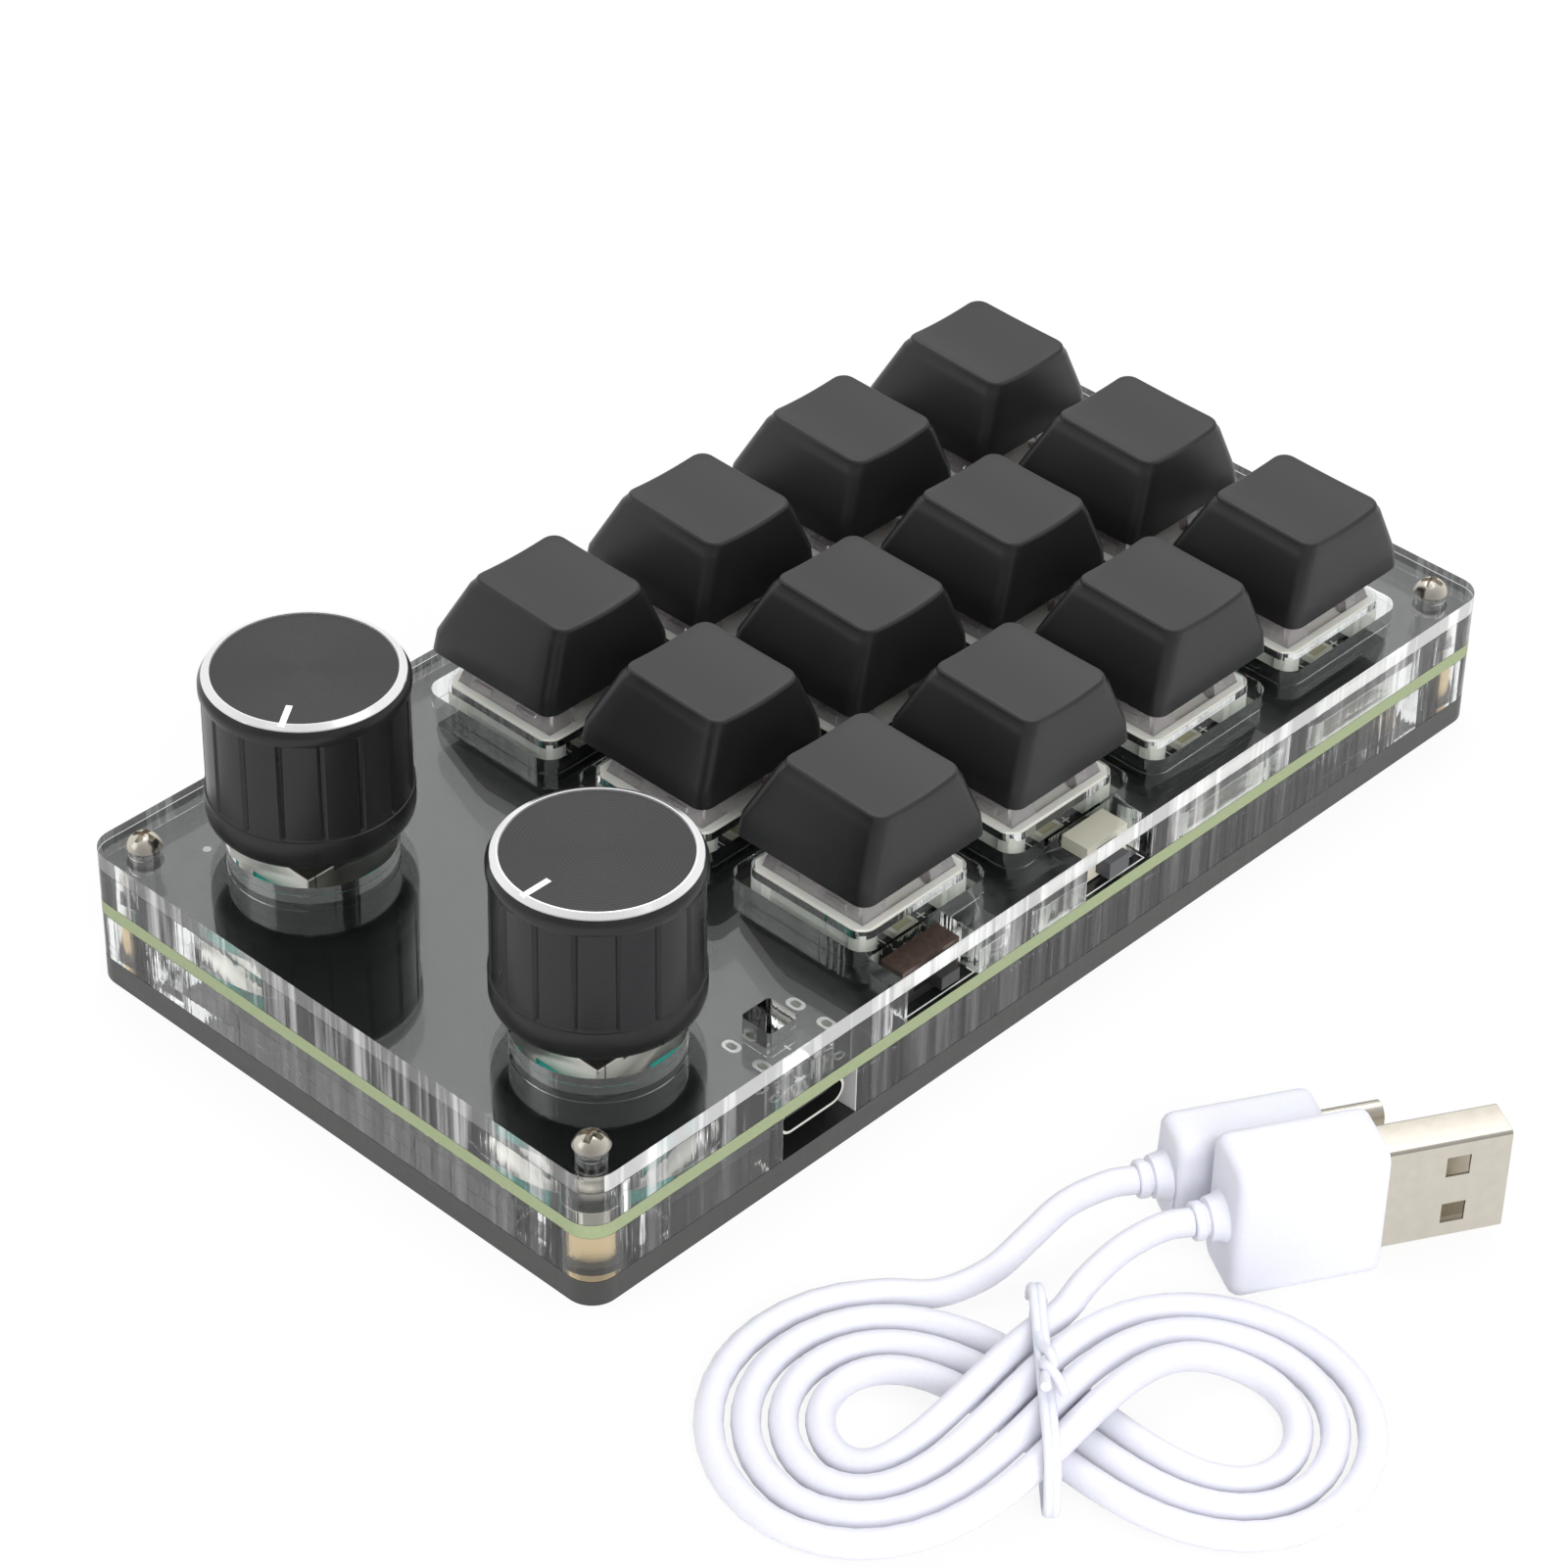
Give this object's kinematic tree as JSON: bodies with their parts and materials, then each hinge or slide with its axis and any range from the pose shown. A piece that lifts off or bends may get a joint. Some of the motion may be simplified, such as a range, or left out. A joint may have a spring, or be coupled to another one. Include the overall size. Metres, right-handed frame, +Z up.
{
  "type": "one-handed keyboard",
  "caption": "Small one-handed keyboard with sprung keys, push-and-turn knobs, clear acrylic sheets over a black board and plate, a slide switch and a side button, and its tied cable.",
  "frame": {"origin": "middle of the bottom plate's lower face", "axes": "+X towards the knob end, +Y towards the long side with the socket, +Z up out of the keys"},
  "size_m": [0.1444, 0.1392, 0.0367],
  "materials": {
    "black_plate": "glossy black acrylic",
    "clear_acrylic": "clear laser-cut acrylic",
    "board": "black solder mask on green glass fibre",
    "nickel": "nickel plated",
    "brass": "turned",
    "switch_white": "moulded",
    "switch_milky": "milky, half clear",
    "gold_pin": "plated",
    "steel": "plain",
    "led": "moulded",
    "encoder_green": "moulded",
    "knob_black": "black anodised, bright cut edge",
    "black_plastic": "moulded",
    "copper_tin": "tarnished tin plate",
    "grey_plastic": "moulded",
    "keycap": "fine satin",
    "stem_red": "moulded",
    "white_cable": "soft white sheath"
  },
  "bodies": {
    "base": {"bottom_plate": "black_plate", "middle_frame": "clear_acrylic", "circuit_board": "board", "spacer_sheet": "clear_acrylic", "top_sheet": "clear_acrylic", "corner_screws": "nickel", "brass_posts": "brass", "bottom_screws": "nickel", "switch_housings": "switch_white", "switch_covers": "switch_milky", "switch_contacts": "gold_pin", "switch_springs": "steel", "board_lights": "led", "encoder_bases": "encoder_green", "encoder_cases": "nickel", "usb_socket": "nickel", "slide_switch_body": "black_plastic", "slide_switch_cover": "copper_tin", "side_button_body": "switch_white", "board_components": "black_plastic", "usb_cable": "white_cable", "cable_tie": "white_cable", "usb_a_grip": "white_cable", "usb_a_shell": "nickel", "usb_c_grip": "white_cable", "usb_c_shell": "nickel"},
    "key_1": {"keycap_1": "keycap", "key_stem_1": "stem_red"},
    "key_2": {"keycap_2": "keycap", "key_stem_2": "stem_red"},
    "key_3": {"keycap_3": "keycap", "key_stem_3": "stem_red"},
    "key_4": {"keycap_4": "keycap", "key_stem_4": "stem_red"},
    "key_5": {"keycap_5": "keycap", "key_stem_5": "stem_red"},
    "key_6": {"keycap_6": "keycap", "key_stem_6": "stem_red"},
    "key_7": {"keycap_7": "keycap", "key_stem_7": "stem_red"},
    "key_8": {"keycap_8": "keycap", "key_stem_8": "stem_red"},
    "key_9": {"keycap_9": "keycap", "key_stem_9": "stem_red"},
    "key_10": {"keycap_10": "keycap", "key_stem_10": "stem_red"},
    "key_11": {"keycap_11": "keycap", "key_stem_11": "stem_red"},
    "key_12": {"keycap_12": "keycap", "key_stem_12": "stem_red"},
    "front_push": {"front_push_disc": "steel"},
    "front_turn": {"front_shaft": "nickel", "front_knob": "knob_black", "front_knob_core": "black_plastic"},
    "rear_push": {"rear_push_disc": "steel"},
    "rear_turn": {"rear_shaft": "nickel", "rear_knob": "knob_black", "rear_knob_core": "black_plastic"},
    "slide_lever": {"slide_switch_lever": "black_plastic"},
    "side_button": {"side_button_plunger": "grey_plastic"}
  },
  "joints": [
    {"name": "key_1_press", "type": "slide", "parent": "base", "child": "key_1", "axis": [0, 0, -1], "range_m": [0, 0.004], "stiffness_N_per_m": 60, "springref_m": -0.006, "deforming": ["switch_springs"]},
    {"name": "key_2_press", "type": "slide", "parent": "base", "child": "key_2", "axis": [0, 0, -1], "range_m": [0, 0.004], "stiffness_N_per_m": 60, "springref_m": -0.006, "deforming": ["switch_springs"]},
    {"name": "key_3_press", "type": "slide", "parent": "base", "child": "key_3", "axis": [0, 0, -1], "range_m": [0, 0.004], "stiffness_N_per_m": 60, "springref_m": -0.006, "deforming": ["switch_springs"]},
    {"name": "key_4_press", "type": "slide", "parent": "base", "child": "key_4", "axis": [0, 0, -1], "range_m": [0, 0.004], "stiffness_N_per_m": 60, "springref_m": -0.006, "deforming": ["switch_springs"]},
    {"name": "key_5_press", "type": "slide", "parent": "base", "child": "key_5", "axis": [0, 0, -1], "range_m": [0, 0.004], "stiffness_N_per_m": 60, "springref_m": -0.006, "deforming": ["switch_springs"]},
    {"name": "key_6_press", "type": "slide", "parent": "base", "child": "key_6", "axis": [0, 0, -1], "range_m": [0, 0.004], "stiffness_N_per_m": 60, "springref_m": -0.006, "deforming": ["switch_springs"]},
    {"name": "key_7_press", "type": "slide", "parent": "base", "child": "key_7", "axis": [0, 0, -1], "range_m": [0, 0.004], "stiffness_N_per_m": 60, "springref_m": -0.006, "deforming": ["switch_springs"]},
    {"name": "key_8_press", "type": "slide", "parent": "base", "child": "key_8", "axis": [0, 0, -1], "range_m": [0, 0.004], "stiffness_N_per_m": 60, "springref_m": -0.006, "deforming": ["switch_springs"]},
    {"name": "key_9_press", "type": "slide", "parent": "base", "child": "key_9", "axis": [0, 0, -1], "range_m": [0, 0.004], "stiffness_N_per_m": 60, "springref_m": -0.006, "deforming": ["switch_springs"]},
    {"name": "key_10_press", "type": "slide", "parent": "base", "child": "key_10", "axis": [0, 0, -1], "range_m": [0, 0.004], "stiffness_N_per_m": 60, "springref_m": -0.006, "deforming": ["switch_springs"]},
    {"name": "key_11_press", "type": "slide", "parent": "base", "child": "key_11", "axis": [0, 0, -1], "range_m": [0, 0.004], "stiffness_N_per_m": 60, "springref_m": -0.006, "deforming": ["switch_springs"]},
    {"name": "key_12_press", "type": "slide", "parent": "base", "child": "key_12", "axis": [0, 0, -1], "range_m": [0, 0.004], "stiffness_N_per_m": 60, "springref_m": -0.006, "deforming": ["switch_springs"]},
    {"name": "front_knob_press", "type": "slide", "parent": "base", "child": "front_push", "axis": [0, 0, -1], "range_m": [0, 0.0005], "stiffness_N_per_m": 4000, "springref_m": -0.0005},
    {"name": "front_knob_turn", "type": "hinge", "parent": "front_push", "child": "front_turn", "pos_m": [0.0503, -0.0212, 0.0288], "axis": [0, 0, 1], "continuous": true},
    {"name": "rear_knob_press", "type": "slide", "parent": "base", "child": "rear_push", "axis": [0, 0, -1], "range_m": [0, 0.0005], "stiffness_N_per_m": 4000, "springref_m": -0.0005},
    {"name": "rear_knob_turn", "type": "hinge", "parent": "rear_push", "child": "rear_turn", "pos_m": [0.0503, 0.0195, 0.0288], "axis": [0, 0, 1], "continuous": true},
    {"name": "slide_switch_move", "type": "slide", "parent": "base", "child": "slide_lever", "axis": [1, 0, 0], "range_m": [0, 0.002]},
    {"name": "side_button_press", "type": "slide", "parent": "base", "child": "side_button", "axis": [0, -1, 0], "range_m": [0, 0.0004], "stiffness_N_per_m": 1000, "springref_m": -0.001}
  ]
}
